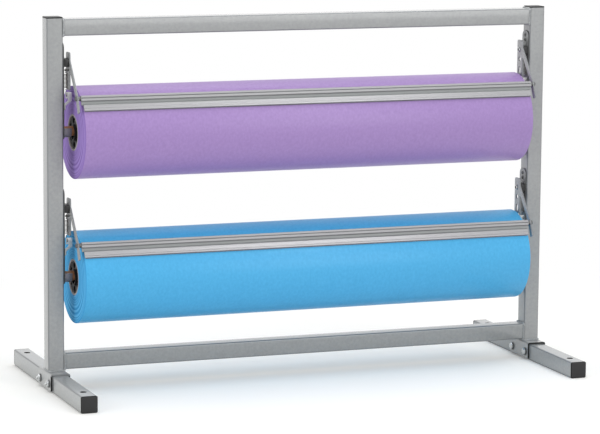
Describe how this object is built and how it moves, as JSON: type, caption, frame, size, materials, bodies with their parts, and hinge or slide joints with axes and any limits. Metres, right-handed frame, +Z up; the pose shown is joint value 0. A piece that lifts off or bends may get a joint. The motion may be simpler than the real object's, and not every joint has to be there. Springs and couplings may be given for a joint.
{
  "type": "paper roll rack",
  "caption": "Free-standing counter rack that holds wide paper rolls on lift-out shafts, each torn off under a sprung, lever-mounted cutter bar.",
  "frame": {"origin": "on the floor plane, under the middle of the rack (centre of the feet's underside box)", "axes": "+X along the rolls, to the right as seen from the front; -Y is the front, where the cutter bars are; +Z up"},
  "size_m": [1.0468, 0.4706, 0.7086],
  "materials": {
    "silver_enamel": "satin silver-grey powder coat",
    "zinc": "bright zinc plate",
    "black_plastic": "moulded, matt",
    "dark_steel": "dark grey steel",
    "aluminium": "mill-finish extrusion",
    "blade_steel": "ground strip",
    "spring_steel": "dark music wire",
    "bronzed_steel": "brown plated tube",
    "kraft_card": "wound card tube",
    "lilac_paper": "uncoated kraft-weight paper, lilac",
    "sky_paper": "uncoated kraft-weight paper, sky blue"
  },
  "bodies": {
    "frame": {"left_upright": "silver_enamel", "left_upright_cap": "black_plastic", "left_foot": "silver_enamel", "left_front_foot_cap": "black_plastic", "left_rear_foot_cap": "black_plastic", "left_saddle": "silver_enamel", "left_front_saddle_bolt": "zinc", "left_rear_saddle_bolt": "zinc", "right_upright": "silver_enamel", "right_upright_cap": "black_plastic", "right_foot": "silver_enamel", "right_front_foot_cap": "black_plastic", "right_rear_foot_cap": "black_plastic", "right_saddle": "silver_enamel", "right_front_saddle_bolt": "zinc", "right_rear_saddle_bolt": "zinc", "top_rail": "silver_enamel", "bottom_rail": "silver_enamel", "upper_left_side_plate": "silver_enamel", "upper_left_shaft_seat": "dark_steel", "upper_left_spring_anchor": "silver_enamel", "upper_left_pivot_bolt": "zinc", "upper_left_spring": "spring_steel", "upper_right_side_plate": "silver_enamel", "upper_right_shaft_seat": "dark_steel", "upper_right_spring_anchor": "silver_enamel", "upper_right_pivot_bolt": "zinc", "upper_right_spring": "spring_steel", "lower_left_side_plate": "silver_enamel", "lower_left_shaft_seat": "dark_steel", "lower_left_spring_anchor": "silver_enamel", "lower_left_pivot_bolt": "zinc", "lower_left_spring": "spring_steel", "lower_right_side_plate": "silver_enamel", "lower_right_shaft_seat": "dark_steel", "lower_right_spring_anchor": "silver_enamel", "lower_right_pivot_bolt": "zinc", "lower_right_spring": "spring_steel"},
    "upper_cutter": {"upper_left_pivot_block": "black_plastic", "upper_left_lever": "silver_enamel", "upper_right_pivot_block": "black_plastic", "upper_right_lever": "silver_enamel", "upper_cutter_bar": "aluminium", "upper_cutter_blade": "blade_steel"},
    "upper_shaft_body": {"upper_shaft": "bronzed_steel"},
    "upper_roll": {"upper_left_plug": "black_plastic", "upper_right_plug": "black_plastic", "upper_paper": "lilac_paper", "upper_core": "kraft_card"},
    "lower_cutter": {"lower_left_pivot_block": "black_plastic", "lower_left_lever": "silver_enamel", "lower_right_pivot_block": "black_plastic", "lower_right_lever": "silver_enamel", "lower_cutter_bar": "aluminium", "lower_cutter_blade": "blade_steel"},
    "lower_shaft_body": {"lower_shaft": "bronzed_steel"},
    "lower_roll": {"lower_left_plug": "black_plastic", "lower_right_plug": "black_plastic", "lower_paper": "sky_paper", "lower_core": "kraft_card"}
  },
  "joints": [
    {"name": "upper_cutter_hinge", "type": "hinge", "parent": "frame", "child": "upper_cutter", "pos_m": [0, 0, 0.622], "axis": [-1, 0, 0], "range_deg": [0, 65], "stiffness_Nm_per_rad": 0.6, "springref_deg": -34.38, "deforming": ["upper_left_spring", "upper_right_spring"]},
    {"name": "upper_shaft_lift", "type": "slide", "parent": "frame", "child": "upper_shaft_body", "axis": [0, 0.7071, 0.7071], "range_m": [0, 0.04]},
    {"name": "upper_roll_spin", "type": "hinge", "parent": "upper_shaft_body", "child": "upper_roll", "pos_m": [0, 0, 0.489], "axis": [1, 0, 0], "continuous": true},
    {"name": "lower_cutter_hinge", "type": "hinge", "parent": "frame", "child": "lower_cutter", "pos_m": [0, 0, 0.3455], "axis": [-1, 0, 0], "range_deg": [0, 65], "stiffness_Nm_per_rad": 0.6, "springref_deg": -34.38, "deforming": ["lower_left_spring", "lower_right_spring"]},
    {"name": "lower_shaft_lift", "type": "slide", "parent": "frame", "child": "lower_shaft_body", "axis": [0, 0.7071, 0.7071], "range_m": [0, 0.04]},
    {"name": "lower_roll_spin", "type": "hinge", "parent": "lower_shaft_body", "child": "lower_roll", "pos_m": [0, 0, 0.2125], "axis": [1, 0, 0], "continuous": true}
  ]
}
